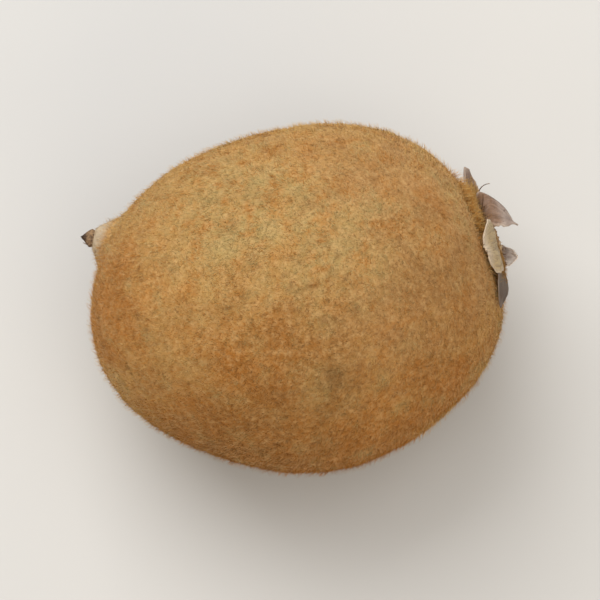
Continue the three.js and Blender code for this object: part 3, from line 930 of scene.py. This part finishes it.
class KiwiFuzzSettings(PropertyGroup):
    short_layers: whole("Short layers", "Pieces of short fuzz", 3, 0)
    short_count: whole("Short hairs", "Hairs in a short layer", 45500)
    short_length: millimetres("Short length", "Length of the short fuzz", 0.85)
    long_layers: whole("Long layers", "Pieces of long hairs", 1, 0)
    long_count: whole("Long hairs", "Hairs in a long layer", 18500)
    long_length: millimetres("Long length", "Length of the long hairs", 1.4)
    collar_count: whole("Collar hairs", "Longer hairs round the calyx", 6000)
    collar_length: millimetres("Collar length", "Length of the hairs round the calyx", 1.7)
    down_count: whole("Down hairs", "Hairs on the downiest sepal", 1800)
    girth: millimetres("Girth", "Radius of a hair at its root", 0.029)
    pale: colour("Pale", "Palest golden hairs", (0.68, 0.45, 0.17))
    gold: colour("Gold", "Golden hairs", (0.52, 0.29, 0.075))
    dark: colour("Dark", "Darkest hairs", (0.21, 0.09, 0.018))
    pale_olive: colour("Pale olive", "Palest olive hairs", (0.57, 0.46, 0.22))
    olive: colour("Olive", "Olive hairs", (0.41, 0.3, 0.11))
    pale_russet: colour("Pale russet", "Palest red-brown hairs", (0.52, 0.225, 0.032))
    russet: colour("Russet", "Red-brown hairs", (0.42, 0.155, 0.01))
    pale_rosy: colour("Pale rosy", "Palest rosy brown hairs", (0.6, 0.38, 0.17))
    rosy: colour("Rosy", "Rosy brown hairs", (0.44, 0.235, 0.08))
    pale_faded: colour("Pale faded", "Palest hairs of the bare tip", (0.59, 0.49, 0.375))
    faded: colour("Faded", "Faded hairs of the bare tip", (0.445, 0.355, 0.245))
    sheen: FloatProperty(name="Sheen", description="Strength of the soft sheen", default=0.35, min=0, max=1)


class KiwiCalyxSettings(PropertyGroup):
    # Partly the faded pale colour of a dry sepal, partly painted light: lighter, as if light shone through
    # the thin sepal that faces away from the lamps
    mauve: colour("Mauve", "Faded pale mauve-grey", (0.76, 0.67, 0.6))
    dusk: colour("Dusk", "Mauve-grey of the papery sepals", (0.32, 0.25, 0.21))
    heather: colour("Heather", "Deeper mauve-grey", (0.22, 0.16, 0.14))
    plum: colour("Plum", "Darker mauve-brown", (0.23, 0.155, 0.12))
    # This grey and the umber below are partly the fourth sepal's own dark colour and partly painted shade
    # where it lies low against the skin
    grey: colour("Grey", "Grey of weathered sepals", (0.14, 0.105, 0.075))
    tan: colour("Tan", "Light olive-tan of dry sepals", (0.42, 0.315, 0.175))
    cream: colour("Cream", "Papery edges of the sepals", (0.64, 0.53, 0.43))
    straw: colour("Straw", "Pale corky colour", (0.46, 0.34, 0.2))
    hazel: colour("Hazel", "Golden brown of downy roots", (0.34, 0.2, 0.08))
    brown: colour("Brown", "Brown of the sepals' roots", (0.18, 0.09, 0.042))
    umber: colour("Umber", "Dark brown of old tissue", (0.1, 0.07, 0.055))
    vein: colour("Vein", "Colour of veins and specks", (0.1, 0.06, 0.04))


class KiwiStamenSettings(PropertyGroup):
    count: whole("Stamens", "Number of dried stamens", 140)
    light: colour("Light", "Lighter stamen colour", (0.16, 0.085, 0.04))
    dark: colour("Dark", "Darker stamen colour", (0.03, 0.015, 0.008))


class KiwiStyleSettings(PropertyGroup):
    count: whole("Styles", "Number of dried styles", 50)
    light: colour("Light", "Lighter style colour", (0.27, 0.165, 0.085))
    dark: colour("Dark", "Darker style colour", (0.05, 0.028, 0.018))


class KiwiStageSettings(PropertyGroup):
    ground: colour("Ground", "Colour of the ground", (0.5, 0.494, 0.484))
    key: watts("Key", "Power of the light from behind", 5.4)
    top: watts("Top", "Power of the light from above", 3.4)
    fill: watts("Fill", "Power of the light from the front", 1.6)
    sky: FloatProperty(name="Sky", description="Strength of the light from all round", default=0.55)
    elevation: FloatProperty(name="Elevation", description="Camera angle above the horizon",
                             default=math.radians(80), subtype="ANGLE")
    view_width: millimetres("View width", "Width of the view", 86)


# ---- Operators and panel ----
class KIWI_OT_skin(Operator):
    """Make the fruit's skin"""
    bl_idname = "kiwi.skin"
    bl_label = "Skin"

    def execute(self, context):
        build_skin(context.scene.kiwi_skin)
        return {"FINISHED"}


class KIWI_OT_fuzz(Operator):
    """Make the hairs on the skin"""
    bl_idname = "kiwi.fuzz"
    bl_label = "Fuzz"

    def execute(self, context):
        build_fuzz(context.scene.kiwi_fuzz)
        return {"FINISHED"}


class KIWI_OT_calyx(Operator):
    """Make the dry sepals and the stalk's scar"""
    bl_idname = "kiwi.calyx"
    bl_label = "Calyx"

    def execute(self, context):
        build_calyx(context.scene.kiwi_calyx)
        return {"FINISHED"}


class KIWI_OT_down(Operator):
    """Make the down on the sepals"""
    bl_idname = "kiwi.down"
    bl_label = "Sepal down"

    def execute(self, context):
        build_down(context.scene.kiwi_fuzz)
        return {"FINISHED"}


class KIWI_OT_stamens(Operator):
    """Make the dried stamens under the calyx"""
    bl_idname = "kiwi.stamens"
    bl_label = "Stamens"

    def execute(self, context):
        build_stamens(context.scene.kiwi_stamens)
        return {"FINISHED"}


class KIWI_OT_styles(Operator):
    """Make the tuft of styles on the blossom end"""
    bl_idname = "kiwi.styles"
    bl_label = "Styles"

    def execute(self, context):
        build_styles(context.scene.kiwi_styles)
        return {"FINISHED"}


class KIWI_OT_stage(Operator):
    """Make the ground, lights and camera"""
    bl_idname = "kiwi.stage"
    bl_label = "Stage"

    def execute(self, context):
        build_stage(context.scene.kiwi_stage)
        return {"FINISHED"}


class KIWI_PT_sidebar(Panel):
    """Lists the operators in order"""
    bl_idname = "KIWI_PT_sidebar"
    bl_label = "Kiwi Fruit"
    bl_space_type = "VIEW_3D"
    bl_region_type = "UI"
    bl_category = "Kiwi"

    def draw(self, context):
        for name in STEPS:
            self.layout.operator(f"kiwi.{name}")


SETTINGS = {
    "stage": KiwiStageSettings,
    "skin": KiwiSkinSettings,
    "fuzz": KiwiFuzzSettings,
    "calyx": KiwiCalyxSettings,
    "stamens": KiwiStamenSettings,
    "styles": KiwiStyleSettings,
}
STEPS = ("stage", "skin", "fuzz", "calyx", "down", "stamens", "styles")
CLASSES = (*SETTINGS.values(), KIWI_OT_skin, KIWI_OT_fuzz, KIWI_OT_calyx, KIWI_OT_down, KIWI_OT_stamens,
           KIWI_OT_styles, KIWI_OT_stage, KIWI_PT_sidebar)


def register():
    """Registers the classes and puts their settings on the scene."""
    for cls in CLASSES:
        bpy.utils.register_class(cls)
    for name, group in SETTINGS.items():
        setattr(bpy.types.Scene, f"kiwi_{name}", PointerProperty(type=group))


def unregister():
    """Undoes register."""
    for name in SETTINGS:
        delattr(bpy.types.Scene, f"kiwi_{name}")
    for cls in reversed(CLASSES):
        bpy.utils.unregister_class(cls)


def main():
    """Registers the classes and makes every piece."""
    register()
    for name in STEPS:
        getattr(bpy.ops.kiwi, name)()


if __name__ == "__main__":
    main()
